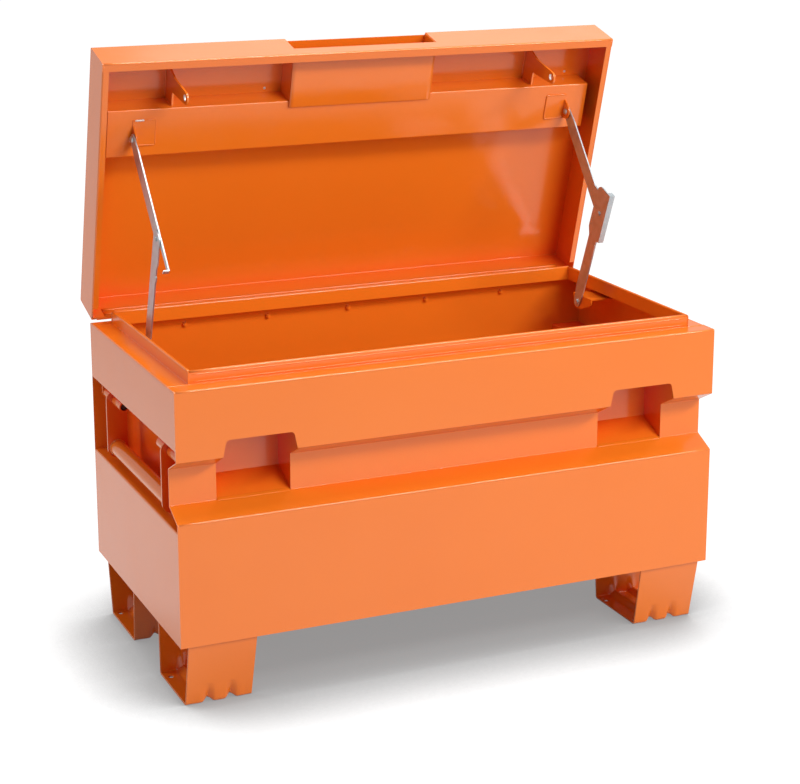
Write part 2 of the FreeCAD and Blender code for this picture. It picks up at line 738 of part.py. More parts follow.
def stay_arms(side):
    """Arms A and B at rest. Arm A is the upper arm on the left and the lower on the right."""
    left = side < 0
    upper_length = STAY_A if left else STAY_B
    lower_length = STAY_B if left else STAY_A
    middle = knee(upper_length, lower_length)
    a_far = lid_pivot() if left else BODY_PIVOT
    b_far = BODY_PIVOT if left else lid_pivot()
    direction_a = unit(sub2(middle, a_far))
    direction_b = unit(sub2(b_far, middle))
    a = stand(arm_a(left), middle, direction_a, forward(direction_a), side, PLANE_A)
    b = stand(arm_b(left), middle, direction_b, forward(direction_b), side, PLANE_B)
    return a, b


def pivot_rivet(side, point, inner, outer, head=6.0):
    """A rivet along X with a domed head at each end of its grip."""
    y, z = point
    shank = rod((side * inner, y, z), (side * outer, y, z), STAY_HOLE - 0.05)
    caps = [shank]
    for x, step in ((inner, -2.0), (outer, 2.0)):
        caps.append(rod((side * x, y, z), (side * (x + step), y, z), head))
    return fuse(caps)


def knee_rivet(side):
    left = side < 0
    middle = knee(STAY_A if left else STAY_B, STAY_B if left else STAY_A)
    inner = PLANE_A if left else PLANE_A - 0.3
    outer = PLANE_B + STAY_THICKNESS + (0.3 if left else 0.0)
    return pivot_rivet(side, middle, inner, outer, 5.0)


def lid_stay_rivet(side):
    arm_face = PLANE_A if side < 0 else PLANE_B
    inner = arm_face - EAR_GAP - EAR
    outer = arm_face + STAY_THICKNESS + 0.3
    return pivot_rivet(side, lid_pivot(), inner, outer)


def body_stay_rivet(side):
    """Fixed in the lower arm. It stops short of the body bracket, where the loop is open."""
    arm_face = PLANE_B if side < 0 else PLANE_A
    y, z = BODY_PIVOT
    end = arm_face + STAY_THICKNESS
    shank = rod((side * arm_face, y, z), (side * end, y, z), STAY_HOLE - 0.05)
    head = rod((side * (arm_face - 2.5), y, z), (side * arm_face, y, z), 6.5)
    return fuse([shank, head])


def lid_stay_bracket(side):
    """Tab welded to the rail's face, with an ear turned down to carry the upper arm."""
    arm_face = PLANE_A if side < 0 else PLANE_B
    outer = arm_face - EAR_GAP
    inner = outer - 50.0
    face = LID_Z + RAIL_FACE
    root = face - SHEET / 2.0
    tip = LID_PIVOT_Z - 12.0
    y = LID_PIVOT_Y
    tab_points = [(inner, y - 37.0), (outer, y - 37.0), (outer, y + 20.0), (inner, y + 20.0)]
    tab = rounded_plate("z", tab_points, [6.0, 0, 0, 6.0], face - SHEET, face)
    ear_points = [(y - 26.0, root), (y - 12.0, tip), (y + 12.0, tip), (y + 20.0, root)]
    ear = rounded_plate("x", ear_points, [0, 10.0, 10.0, 0], outer - EAR, outer)
    hole = rod((inner, y, LID_PIVOT_Z), (outer + 1.0, y, LID_PIVOT_Z), STAY_HOLE)
    bracket = fuse([tab, ear]).cut(hole)
    if side < 0:
        bracket = mirrored(bracket)
    return opened(bracket)


def body_stay_bracket(side):
    """Shelf welded to the end wall under the ledge, with an ear turned down at its edge."""
    arm_face = PLANE_B if side < 0 else PLANE_A
    inner = arm_face + STAY_THICKNESS + EAR_GAP
    y, z = BODY_PIVOT
    front = y - 62.0
    rear = y + 22.0
    top = LEDGE_Z - 12.0
    low = z - 16.0
    shelf = block(inner, HALF_LENGTH - SHEET, front, rear, top - EAR, top)
    points = [(front, top), (front, z + 3.0), (y - 12.0, low), (y + 16.0, low), (rear, top)]
    ear = rounded_plate("x", points, [0, 10.0, 14.0, 14.0, 0], inner, inner + EAR)
    hole = rod((inner - 1.0, y, z), (inner + EAR + 1.0, y, z), STAY_HOLE)
    bracket = fuse([shelf, ear]).cut(hole)
    return mirrored(bracket) if side < 0 else bracket


# Handles ------------------------------------------------------------------

def handle_arms():
    """Right-hand handle: two link plates with the sleeves that turn on the pins."""
    arms = []
    for s in (-1, 1):
        y = s * HANDLE_ARM_Y
        low = y - ARM_THICKNESS / 2.0
        high = y + ARM_THICKNESS / 2.0
        top = rod((HANDLE_X, low, HANDLE_PIVOT_Z), (HANDLE_X, high, HANDLE_PIVOT_Z), ARM_RADIUS)
        bottom = rod((HANDLE_X, low, HANDLE_GRIP_Z), (HANDLE_X, high, HANDLE_GRIP_Z), ARM_RADIUS)
        web = block(HANDLE_X - ARM_RADIUS, HANDLE_X + ARM_RADIUS, low, high,
                    HANDLE_GRIP_Z, HANDLE_PIVOT_Z)
        sleeve = rod((HANDLE_X, s * SLEEVE_START_Y, HANDLE_PIVOT_Z),
                     (HANDLE_X, s * SLEEVE_END_Y, HANDLE_PIVOT_Z), SLEEVE_RADIUS)
        bore = rod((HANDLE_X, s * (SLEEVE_START_Y - 5.0), HANDLE_PIVOT_Z),
                   (HANDLE_X, s * (SLEEVE_END_Y + 5.0), HANDLE_PIVOT_Z), SLEEVE_BORE)
        arms.append(fuse([top, bottom, web, sleeve]).cut(bore))
    return group(arms)


def handle_grip():
    length = HANDLE_ARM_Y - ARM_THICKNESS / 2.0
    tube = rod((HANDLE_X, -length, HANDLE_GRIP_Z), (HANDLE_X, length, HANDLE_GRIP_Z), GRIP_RADIUS)
    hollow = rod((HANDLE_X, -length, HANDLE_GRIP_Z), (HANDLE_X, length, HANDLE_GRIP_Z),
                 GRIP_RADIUS - 2.5)
    return tube.cut(hollow)


def handle_mounts():
    """Lugs welded in the recess, each with the pin that a sleeve turns on."""
    mounts = []
    for s in (-1, 1):
        low = min(s * LUG_START_Y, s * LUG_END_Y)
        high = max(s * LUG_START_Y, s * LUG_END_Y)
        points = [
            (RECESS_X, HANDLE_PIVOT_Z - HANDLE_PIN_RADIUS),
            (HANDLE_X + LUG_REACH, HANDLE_PIVOT_Z - HANDLE_PIN_RADIUS),
            (HANDLE_X + LUG_REACH, RECESS_TOP_Z),
            (RECESS_X + 3.0, RECESS_TOP_Z),
            (RECESS_X, RECESS_TOP_Z - 3.0),
        ]
        lug = rounded_plate("y", points, [0, 8.0, 0, 0, 0], low, high)
        pin = rod((HANDLE_X, s * PIN_START_Y, HANDLE_PIVOT_Z),
                  (HANDLE_X, s * LUG_END_Y, HANDLE_PIVOT_Z), HANDLE_PIN_RADIUS)
        mounts.append(fuse([lug, pin]))
    return group(mounts)


def build():
    save("front_panel", front_panel())
    save("rear_panel", rear_panel())
    save("floor_panel", floor_panel())
    ends = (
        ("end_lower_panel", end_lower_panel()),
        ("end_recess_panel", end_recess_panel()),
        ("end_collar_panel", end_collar_panel()),
        ("lock_pocket", lock_pocket()),
        ("lock_staple", lock_staple()),
        ("front_foot", foot(True)),
        ("rear_foot", foot(False)),
        ("handle_mounts", handle_mounts()),
        ("handle_arms", handle_arms()),
        ("handle_grip", handle_grip()),
        ("hasp", hasp()),
    )
    for name, shape in ends:
        save("right_" + name, shape)
        save("left_" + name, mirrored(shape))
    save("hinge_body_leaf", hinge_body_leaf())
    save("hinge_pin", hinge_pin())
    save("hinge_bolts", hinge_bolts())
    save("hinge_lid_leaf", hinge_lid_leaf())
    save("lid_shell", lid_shell())
    save("lid_rail", lid_rail())
    save("lid_grip_recess", lid_grip_recess())
    for prefix, side in (("left_", -1), ("right_", 1)):
        arm_one, arm_two = stay_arms(side)
        save(prefix + "stay_arm_a", arm_one)
        save(prefix + "stay_arm_b", arm_two)
        save(prefix + "stay_knee_rivet", knee_rivet(side))
        save(prefix + "stay_lid_rivet", lid_stay_rivet(side))
        save(prefix + "stay_body_rivet", body_stay_rivet(side))
        save(prefix + "stay_lid_bracket", lid_stay_bracket(side))
        save(prefix + "stay_body_bracket", body_stay_bracket(side))


build()
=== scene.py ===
"""Jobsite storage box standing open on a pale studio floor.

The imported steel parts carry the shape. This script gives them their powder coat
and zinc plate, and adds the pressed feet, welds, rivets and other small work.
Lengths are in metres. X runs along the box, the front faces -Y, and the ground is
at Z = 0.
"""
import math

import bmesh
import bpy
import numpy as np
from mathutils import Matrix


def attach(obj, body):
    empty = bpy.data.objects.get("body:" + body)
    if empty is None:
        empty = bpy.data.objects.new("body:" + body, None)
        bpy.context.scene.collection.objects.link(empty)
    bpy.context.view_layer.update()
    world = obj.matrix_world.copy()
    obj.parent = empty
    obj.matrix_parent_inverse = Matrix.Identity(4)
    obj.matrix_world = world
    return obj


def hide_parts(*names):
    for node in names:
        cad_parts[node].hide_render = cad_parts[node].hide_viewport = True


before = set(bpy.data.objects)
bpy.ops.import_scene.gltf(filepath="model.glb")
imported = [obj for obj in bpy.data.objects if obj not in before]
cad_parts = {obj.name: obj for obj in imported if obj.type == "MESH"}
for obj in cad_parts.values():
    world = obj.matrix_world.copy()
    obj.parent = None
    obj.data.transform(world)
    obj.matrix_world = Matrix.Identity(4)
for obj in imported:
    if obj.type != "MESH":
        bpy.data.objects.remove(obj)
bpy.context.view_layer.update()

HALF_LENGTH = 0.600                # centre to the outside of an end wall
HALF_DEPTH = 0.297                 # centre to the outside of the front or rear wall
FOLD = 0.003                       # outside radius of a fold in the sheet
SKIN = 0.00325                     # radius of the skins laid over the folds
FOLD_INSET = 0.0035                # their distance from the end walls
SHOULDER = 0.393                   # where the front turns in under the waist
SHOULDER_SLOPE = math.atan2(0.024, 0.050)
LEDGE = 0.660                      # the shelf that the closed lid stands over

RIM_TOP = LEDGE + 0.027            # raised rim inside the ledge
RIM_HALF_LENGTH = 0.558
RIM_FRONT = -HALF_DEPTH + 0.041
RIM_REAR = HALF_DEPTH - 0.024

FOOT_TOP = 0.138                   # underside of the body
FOOT_INNER = 0.440                 # a foot's two ends, along X
FOOT_OUTER = 0.583
FOOT_EDGE = HALF_DEPTH - 0.005     # its outer plate, at the top
FOOT_DEPTH = 0.206                 # from there to its inner plate
FOOT_SHEET = 0.003

HANDLE_X = 0.577
HANDLE_PIVOT = 0.512               # heights of a handle's pins and grip
HANDLE_GRIP = 0.406

# The lid swings up about its hinge pin. Its own places are given as if it were
# shut, as distances behind its front wall and above its lower edge.
LID_EDGE = LEDGE + 0.0014
PIN = (HALF_DEPTH + 0.0085, LEDGE - 0.010)
OPEN_TURN = math.radians(-74.0)
LID_HALF_LENGTH = 0.592
LID_DEPTH = 2.0 * HALF_DEPTH
LID_INSIDE = 0.090                 # inner face of its top
RAIL_FRONT = 0.121
RAIL_FACE = 0.035
HASP_X = 0.425
HASP_EYE = (0.0665, -0.040)
STAY_EYE = (0.182, 0.022)
STAY_INSIDE = {"left": 0.5120, "right": 0.5155}    # inboard face of the arm on the lid
STAY_OUTSIDE = {"left": 0.5158, "right": 0.5190}   # seat of its rivet's outer head
STAY_GAP = 0.0005                  # between an arm and the ear beside it
EAR_SHEET = 0.003

SWELL = 0.16                       # how much a weld bead's radius rises and falls


# Colour and nodes ----------------------------------------------------------

def srgb(code):
    """Turns an sRGB hex code into linear red, green, blue and an alpha of 1."""
    parts = [int(code[i:i + 2], 16) / 255.0 for i in (1, 3, 5)]
    return tuple(c / 12.92 if c <= 0.04045 else ((c + 0.055) / 1.055) ** 2.4
                 for c in parts) + (1.0,)


def add(tree, kind, links=(), **settings):
    """Adds one node, sets its values and inputs, and links other outputs into it."""
    made = tree.nodes.new(kind)
    for name, value in settings.items():
        if hasattr(made, name):
            setattr(made, name, value)
        else:
            made.inputs[name.replace("_", " ")].default_value = value
    for socket, source in links:
        tree.links.new(source, made.inputs[socket])
    return made


def new_material(name):
    """An empty node material and its tree."""
    made = bpy.data.materials.new(name)
    made.use_nodes = True
    tree = made.node_tree
    tree.nodes.clear()
    return made, tree


def painted_bore_shade(name):
    """Painted shade inside a tube end: a near-black disc, mottled with dark red-brown."""
    mottle_size = 0.0025
    made, tree = new_material(name)
    place = add(tree, "ShaderNodeTexCoord").outputs["Object"]
    mottle = add(tree, "ShaderNodeTexNoise", [("Vector", place)], Scale=1.0 / mottle_size,
               Detail=3.0)
    tone = add(tree, "ShaderNodeMix", [("Factor", mottle.outputs["Fac"])], data_type="RGBA")
    tone.inputs["A"].default_value = srgb("#1E0E0A")
    tone.inputs["B"].default_value = srgb("#4A1E10")
    body = add(tree, "ShaderNodeBsdfPrincipled", [("Base Color", tone.outputs["Result"])],
               Roughness=0.7)
    add(tree, "ShaderNodeOutputMaterial", [("Surface", body.outputs["BSDF"])])
    return made


def powder_coat(name, alone, painted_shade_below):
    """Polyester powder coat, sprayed and baked: glossy, with a fine orange peel.

    The peel is 2.4 mm across on the real sheet. Thin and thick film shift the
    colour a little over some 300 mm, and handling leaves slightly duller smears of
    some 110 mm. Pockets and inside corners narrower than some 250 mm are painted a
    deep red, as painted shade for light that has gone there from wall to wall. With
    alone the sheet counts only its own walls, and without it the neighbouring sheets
    close it in too. The painted shade sets in where less than the share
    painted_shade_below of the view is open.
    """
    film_size, smear_size, peel_size = 0.303, 0.111, 0.00238
    roughness, duller = 0.14, 0.08
    made, tree = new_material(name)
    place = add(tree, "ShaderNodeTexCoord").outputs["Object"]
    film = add(tree, "ShaderNodeTexNoise", [("Vector", place)], Scale=1.0 / film_size,
               Detail=3.0)
    tone = add(tree, "ShaderNodeMix", [("Factor", film.outputs["Fac"])], data_type="RGBA")
    tone.inputs["A"].default_value = srgb("#E37019")
    tone.inputs["B"].default_value = srgb("#E8761C")
    # Painted shade: where less of the view is open, the coat's colour is mixed towards a deep
    # red.
    painted_shade_ao = add(tree, "ShaderNodeAmbientOcclusion", samples=4, Distance=0.25,
                 only_local=alone)
    painted_shade_open = add(tree, "ShaderNodeMapRange", [("Value", painted_shade_ao.outputs["AO"])])
    painted_shade_open.inputs["From Min"].default_value = 0.18
    painted_shade_open.inputs["From Max"].default_value = painted_shade_below
    film_with_painted_shade = add(tree, "ShaderNodeMix", [("Factor", painted_shade_open.outputs["Result"]),
                                            ("B", tone.outputs["Result"])], data_type="RGBA")
    # The deep red of the painted shade.
    film_with_painted_shade.inputs["A"].default_value = srgb("#EE3C10")
    smear = add(tree, "ShaderNodeTexNoise", [("Vector", place)], Scale=1.0 / smear_size,
                Detail=5.0, Distortion=1.2)
    dull = add(tree, "ShaderNodeMapRange", [("Value", smear.outputs["Fac"])])
    dull.inputs["From Min"].default_value = 0.3
    dull.inputs["From Max"].default_value = 0.75
    dull.inputs["To Min"].default_value = roughness
    dull.inputs["To Max"].default_value = roughness + duller
    peel = add(tree, "ShaderNodeTexNoise", [("Vector", place)], Scale=1.0 / peel_size,
               Detail=0.0)
    bump = add(tree, "ShaderNodeBump", [("Height", peel.outputs["Fac"])], Strength=0.012,
               Distance=0.0005)
    body = add(tree, "ShaderNodeBsdfPrincipled",
               [("Base Color", film_with_painted_shade.outputs["Result"]),
                ("Roughness", dull.outputs["Result"]), ("Normal", bump.outputs["Normal"])],
               IOR=1.65)
    add(tree, "ShaderNodeOutputMaterial", [("Surface", body.outputs["BSDF"])])
    return made


def zinc_plate(name):
    """Bright zinc electroplate on rolled bar: silver, clouded over some 17 mm."""
    cloud_size = 0.01667
    made, tree = new_material(name)
    place = add(tree, "ShaderNodeTexCoord").outputs["Object"]
    cloud = add(tree, "ShaderNodeTexNoise", [("Vector", place)], Scale=1.0 / cloud_size,
                Detail=4.0)
    tone = add(tree, "ShaderNodeMix", [("Factor", cloud.outputs["Fac"])], data_type="RGBA")
    tone.inputs["A"].default_value = srgb("#AAB2B6")
    tone.inputs["B"].default_value = srgb("#D3DADD")
    dull = add(tree, "ShaderNodeMapRange", [("Value", cloud.outputs["Fac"])])
    dull.inputs["To Min"].default_value = 0.30
    dull.inputs["To Max"].default_value = 0.48
    body = add(tree, "ShaderNodeBsdfPrincipled",
               [("Base Color", tone.outputs["Result"]), ("Roughness", dull.outputs["Result"])],
               Metallic=0.82)
    add(tree, "ShaderNodeOutputMaterial", [("Surface", body.outputs["BSDF"])])
    return made


def pale_steel_highlight(name):
    """Pale silver grey steel with a grain of some 1 mm, laid on small spots as a painted
    highlight.
    """
    grain_size = 0.00111
    made, tree = new_material(name)
    place = add(tree, "ShaderNodeTexCoord").outputs["Object"]
    grain = add(tree, "ShaderNodeTexNoise", [("Vector", place)], Scale=1.0 / grain_size,
                Detail=3.0)
    tone = add(tree, "ShaderNodeMix", [("Factor", grain.outputs["Fac"])], data_type="RGBA")
    tone.inputs["A"].default_value = srgb("#C9C2BC")
    tone.inputs["B"].default_value = srgb("#F1ECE8")
    body = add(tree, "ShaderNodeBsdfPrincipled", [("Base Color", tone.outputs["Result"])],
               Metallic=0.6, Roughness=0.35)
    add(tree, "ShaderNodeOutputMaterial", [("Surface", body.outputs["BSDF"])])
    return made


# Both coats carry painted shade in their corners. The second paints it deeper and wider, and
# counts the neighbouring sheets too.
ORANGE = powder_coat("orange_polyester_powder_coat", True, 0.46)
RECESS_SHADED = powder_coat("orange_powder_coat_deeper_painted_shade", False, 0.86)
ZINC = zinc_plate("bright_zinc_plated_steel")
GLINT_STEEL = pale_steel_highlight("pale_steel_painted_highlight")
BORE_SHADE = painted_bore_shade("tube_bore_painted_shade")


def finish_of(node):
    """Zinc for the stays, rivets and hinge pin, powder coat with deeper painted shade for the end
    recesses and handle arms, and powder coat for all the rest.
    """
    plated = ("stay_arm", "rivet", "hinge_pin")
    if any(word in node for word in plated):
        return ZINC
    hollow = ("end_recess", "handle_arms")
    return RECESS_SHADED if any(word in node for word in hollow) else ORANGE


for node_name, node_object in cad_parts.items():
    node_object.data.materials.clear()
    node_object.data.materials.append(finish_of(node_name))


# Surfaces ------------------------------------------------------------------

def surface(name, points, material, body, wrap=False, caps=False, keep=None):
    """A skin of quads over a grid of points with shape (rows, columns, 3).

    Face (i, j) joins the points (i, j), (i+1, j), (i+1, j+1) and (i, j+1). With
    wrap the last column joins the first, and with caps the end rows are closed.
    Where keep is given, only its faces are made, and points with no face are left
    out.
    """
    points = np.asarray(points, float)
    rows, columns = points.shape[:2]
    index = np.arange(rows * columns).reshape(rows, columns)
    if wrap:
        index = np.concatenate([index, index[:, :1]], axis=1)
    quads = np.stack([index[:-1, :-1], index[1:, :-1], index[1:, 1:], index[:-1, 1:]], axis=-1)
    if keep is not None:
        quads = quads[keep]
    used, quads = np.unique(quads, return_inverse=True)
    faces = quads.reshape(-1, 4).tolist()
    if caps:
        faces.append(index[0, :columns].tolist())
        faces.append(index[-1, :columns][::-1].tolist())
    mesh = bpy.data.meshes.new(name)
    mesh.from_pydata(points.reshape(-1, 3)[used].tolist(), [], faces)
    tidy = bmesh.new()
    tidy.from_mesh(mesh)
    bmesh.ops.remove_doubles(tidy, verts=tidy.verts, dist=1e-6)
    bmesh.ops.recalc_face_normals(tidy, faces=tidy.faces)
    tidy.to_mesh(mesh)
    tidy.free()
    mesh.polygons.foreach_set("use_smooth", [True] * len(mesh.polygons))
    mesh.materials.append(material)
    piece = bpy.data.objects.new(name, mesh)
    bpy.context.scene.collection.objects.link(piece)
    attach(piece, body)
    return piece


def in_lid(across, behind, above):
    """Places of the open lid, from X, the distance behind its front and above its edge.

    The closed lid's place is turned back about the hinge pin by the opening angle.
    """
    x, y, z = np.broadcast_arrays(across, -HALF_DEPTH + np.asarray(behind, float) - PIN[0],
                                  LID_EDGE + np.asarray(above, float) - PIN[1])
    c, s = math.cos(OPEN_TURN), math.sin(OPEN_TURN)
    return np.stack([x, PIN[0] + y * c - z * s, PIN[1] + y * s + z * c], axis=-1)


def line(points, step):
    """A polyline cut into even steps, with its running length."""
    points = np.asarray(points, float)
    length = np.concatenate([[0.0], np.cumsum(np.linalg.norm(np.diff(points, axis=0), axis=1))])
    count = max(int(length[-1] / step), 4) + 1
    at = np.linspace(0.0, length[-1], count)
    return np.stack([np.interp(at, length, points[:, k]) for k in range(3)], axis=1), at


def weld(name, points, radius, body, ripple=0.0035, material=None):
    """A weld bead: a circle carried along a line, whose radius swells once a ripple.

    radius(s) = radius * (1 + SWELL cos(2 pi s / ripple)), narrowing to a point over
    the first and last bead width.
    """
    path, at = line(points, ripple / 4.0)
    along = np.gradient(path, axis=0)
    along /= np.linalg.norm(along, axis=1)[:, None]
    helper = np.array([0.0, 0.0, 1.0]) if abs(along[0, 2]) < 0.9 else np.array([0.0, 1.0, 0.0])
    side = np.cross(along, helper)
    side /= np.linalg.norm(side, axis=1)[:, None]
    up = np.cross(side, along)
    swell = 1.0 + SWELL * np.cos(2.0 * np.pi * at / ripple)
    ends = np.minimum(np.minimum(at, at[-1] - at) / (2.0 * radius), 1.0)
    r = radius * swell * np.sqrt(np.clip(1.0 - (1.0 - ends) ** 2, 0.02, 1.0))
    turn = np.linspace(0.0, 2.0 * np.pi, 10, endpoint=False)
    ring = (side[:, None, :] * np.cos(turn)[None, :, None]
            + up[:, None, :] * np.sin(turn)[None, :, None])
    return surface(name, path[:, None, :] + ring * r[:, None, None], material or ORANGE, body,
                   True, True)


def bend(name, start, end, first, last, body):
    """The round outside of a folded edge: an arc carried along the line of its centre.

    The arc runs from the normal called first to the one called last, one skin
    above the sheet, and is closed behind by the same arc at half the radius. Its
    direction is (first sin((1 - s) angle) + last sin(s angle)) / sin(angle).
    """
    start, end = np.asarray(start, float), np.asarray(end, float)
    first, last = np.asarray(first, float), np.asarray(last, float)
    share = np.linspace(0.0, 1.0, 13)[:, None]
    angle = math.acos(float(first @ last))
    arc = (first * np.sin((1.0 - share) * angle) + last * np.sin(share * angle)) / math.sin(angle)
    loop = np.concatenate([arc * SKIN, arc[::-1] * SKIN * 0.5])
    along = np.linspace(0.0, 1.0, 41)[:, None, None]
    middle = start + (end - start) * along
    return surface(name, middle + loop[None, :, :], ORANGE, body, True, True)


def dome(name, centre, axis, radius, height, material, body, flat=0.25, turns=24, rings=8):
    """A pressed head: the circle of radius r stands height * (1 - r^2)^0.5 off its seat.

    Out to the share called flat the top stays level, as the rivet tool leaves it.
    A short skirt below the edge sinks into the seat.
    """
    skirt = 0.0008
    axis = np.asarray(axis, float) / np.linalg.norm(axis)
    helper = np.array([1.0, 0.0, 0.0]) if abs(axis[0]) < 0.8 else np.array([0.0, 1.0, 0.0])
    side = np.cross(axis, helper)
    side /= np.linalg.norm(side)
    up = np.cross(axis, side)
    share = np.concatenate([[1.0], np.linspace(1.0, 0.02, rings)])
    bulge = np.clip((share - flat) / (1.0 - flat), 0.0, 1.0)
    rise = height * np.sqrt(np.clip(1.0 - bulge ** 2, 0.0, 1.0))
    rise[0] = -skirt
    turn = np.linspace(0.0, 2.0 * np.pi, turns, endpoint=False)
    ring = (side[None, None, :] * np.cos(turn)[None, :, None]
            + up[None, None, :] * np.sin(turn)[None, :, None])
    points = (np.asarray(centre, float) + ring * (share * radius)[:, None, None]
              + axis * rise[:, None, None])
    return surface(name, points, material, body, True, True)


def bar(name, x, behind, above, body):
    """A bar along X in the lid: its section's places, carried through the stations x."""
    points = in_lid(x[:, None], behind[None, :], above[None, :])
    return surface(name, points, ORANGE, body, True, True)


def slab(name, outline, low, high, soft, material, body):
    """A flat plate across X: the outline carried from low to high, its edges eased.

    The two end rings are drawn in towards the outline's middle by the length soft.
    """
    outline = np.asarray(outline, float)
    middle = outline.mean(axis=0)
    away = outline - middle
    length = np.linalg.norm(away, axis=1)[:, None]
    drawn = middle + away * (1.0 - soft / length)
    turn = 1.0 if high > low else -1.0
    stations = [(low, drawn), (low + turn * soft, outline), (high - turn * soft, outline),
                (high, drawn)]
    rings = [np.concatenate([np.full((len(outline), 1), x), ring], axis=1)
             for x, ring in stations]
    return surface(name, np.stack(rings), material, body, True, True)


# Feet ----------------------------------------------------------------------

def foot_path(step):
    """The foot's mid sheet from its front top, round under the base, to its rear top.

    Gives distances behind the foot's front edge, heights, unit normals that point
    into the channel, and the running length. The two bends are arcs 4.5 mm in
    radius.
    """
    radius = 0.0045
    base_front, base_rear = 0.030, 0.200
    half = 0.5 * FOOT_SHEET
    corners = np.array([(half, FOOT_TOP), (base_front + half, half), (base_rear - half, half),
                        (FOOT_DEPTH - half, FOOT_TOP)])
    out = [corners[0]]
    for before, here, after in zip(corners[:-2], corners[1:-1], corners[2:]):
        a = (before - here) / np.linalg.norm(before - here)
        b = (after - here) / np.linalg.norm(after - here)
        half_angle = 0.5 * math.acos(float(np.clip(a @ b, -1.0, 1.0)))
        cut = radius / math.tan(half_angle)
        centre = here + (a + b) / np.linalg.norm(a + b) * radius / math.sin(half_angle)
        start, end = here + a * cut - centre, here + b * cut - centre
        share = np.linspace(0.0, 1.0, 7)[:, None]
        arc = start * (1.0 - share) + end * share
        out.extend(centre + arc / np.linalg.norm(arc, axis=1)[:, None] * radius)
    out.append(corners[-1])
    flat = np.stack([np.zeros(len(out)), np.array(out)[:, 0], np.array(out)[:, 1]], axis=1)
    path, at = line(flat, step)
    along = np.gradient(path[:, 1:], axis=0)
    along /= np.linalg.norm(along, axis=1)[:, None]
    inward = np.stack([-along[:, 1], along[:, 0]], axis=1)
    return path[:, 1], path[:, 2], inward, at


def ridge(x, middle, half_width):
    """A roof shape: 1 at the middle, falling evenly to 0 at the half width."""
    return np.clip(1.0 - np.abs(x - middle) / half_width, 0.0, 1.0)


def punch(x, y, keep, row, column):
    """Opens a round hole in the grid of a foot, round one of its points.

    The squares within three rings are left out, and their edge is drawn to a
    circle 5.5 mm in radius. Over the next two rings the points go back to their
    own places.
    """
    radius, opened, eased = 0.0055, 3, 2
    steps = np.arange(-opened - eased, opened + eased + 1)
    i, j = np.meshgrid(steps, steps, indexing="ij")
    ring = np.maximum(np.abs(i), np.abs(j)).astype(float)
    px, py = x[row + i, column + j], y[row + i, column + j]
    cx, cy = x[row, column], y[row, column]
    away = np.maximum(np.hypot(px - cx, py - cy), 1e-9)
    share = np.clip((ring - opened) / eased, 0.0, 1.0)
    target = radius * (1.0 - share) + away * share
    x[row + i, column + j] = cx + (px - cx) / away * target
    y[row + i, column + j] = cy + (py - cy) / away * target
    keep[row - opened:row + opened, column - opened:column + opened] = False


def pressed_foot(side, front):
    """A foot of 3 mm plate bent to a channel, with two ribs pressed across its base.

    On the grid of X and distance along the sheet, the sheet is pushed inwards by
    14 mm * rib(x) * (1 across the base, fading over 46 mm up each plate), where
    rib is 1 - |x - centre| / 13 mm rounded off. Between and beside the ribs the
    plates bulge out by 2.2 mm and 1.2 mm. The width runs in by 4 mm from top to
    ground. Round holes are the grid's squares drawn in to circles.
    """
    squares, edge = 66, 5          # of the grid along X, and a hole's least distance
    taper, fade, rounding = 0.004, 0.046, 1.25
    rib_height, rib_half = 0.0140, 0.013
    holes_x, holes_behind = (0.454, 0.569), (0.043, 0.171)
    behind, height, inward, at = foot_path(0.0021)
    width = FOOT_OUTER - FOOT_INNER
    centre = 0.5 * (FOOT_INNER + FOOT_OUTER)
    columns = np.linspace(0.0, 1.0, squares + 1)
    lean = taper * (1.0 - np.clip(height / FOOT_TOP, 0.0, 1.0))
    x = (FOOT_INNER + lean[:, None]) + columns[None, :] * (width - lean[:, None])
    reach = (1.0 - np.clip(height / fade, 0.0, 1.0)) ** rounding
    ribs = np.zeros_like(x)
    for third in (1.0, 2.0):
        ribs += ridge(x, FOOT_INNER + width * third / 3.0, rib_half) ** rounding
    between = 0.0022 * ridge(x, centre, 0.017) ** 0.5
    beside = 0.0012 * ridge(np.abs(x - centre), 0.045, 0.012)
    on_plate = np.clip(height / 0.006, 0.0, 1.0) * reach
    push = rib_height * ribs * reach[:, None] - (between + beside) * on_plate[:, None]
    y = behind[:, None] + push * inward[:, :1]
    z = np.maximum(height[:, None] + push * inward[:, 1:], 0.5 * FOOT_SHEET)
    keep = np.ones((len(at) - 1, squares), bool)
    rows_at = np.arange(len(at), dtype=float)
    for hole_x in holes_x:
        for hole_behind in holes_behind:
            row = int(round(float(np.interp(hole_behind, behind, rows_at))))
            column = int(round((hole_x - FOOT_INNER - taper) / (width - taper) * squares))
            punch(x, y, keep, row, min(max(column, edge), squares - edge))
    turn = 1.0 if front else -1.0
    points = np.stack([side * x, turn * (y - FOOT_EDGE), z], axis=-1)
    name = ("left" if side < 0 else "right") + ("_front_foot" if front else "_rear_foot")
    piece = surface(name + "_pressing", points, ORANGE, "body", keep=keep)
    plate = piece.modifiers.new("plate", "SOLIDIFY")
    plate.thickness = FOOT_SHEET
    plate.offset = 0.0
    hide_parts(name)
    return piece


def foot_welds(side, front):
    """Beads along the top of a foot's two plates, under the body."""
    word = ("left" if side < 0 else "right") + ("_front" if front else "_rear")
    turn = 1.0 if front else -1.0
    short = 0.0025                 # distance of a bead's ends from the foot's ends
    outer, inner = FOOT_EDGE + 0.0015, FOOT_EDGE - FOOT_DEPTH + 0.0025
    for label, depth in (("outer", outer), ("inner", inner)):
        ends = [(side * x, -turn * depth, FOOT_TOP - 0.001)
                for x in (FOOT_INNER + short, FOOT_OUTER - short)]
        weld(word + "_foot_weld_" + label, ends, 0.0016, "body")


# Body ----------------------------------------------------------------------

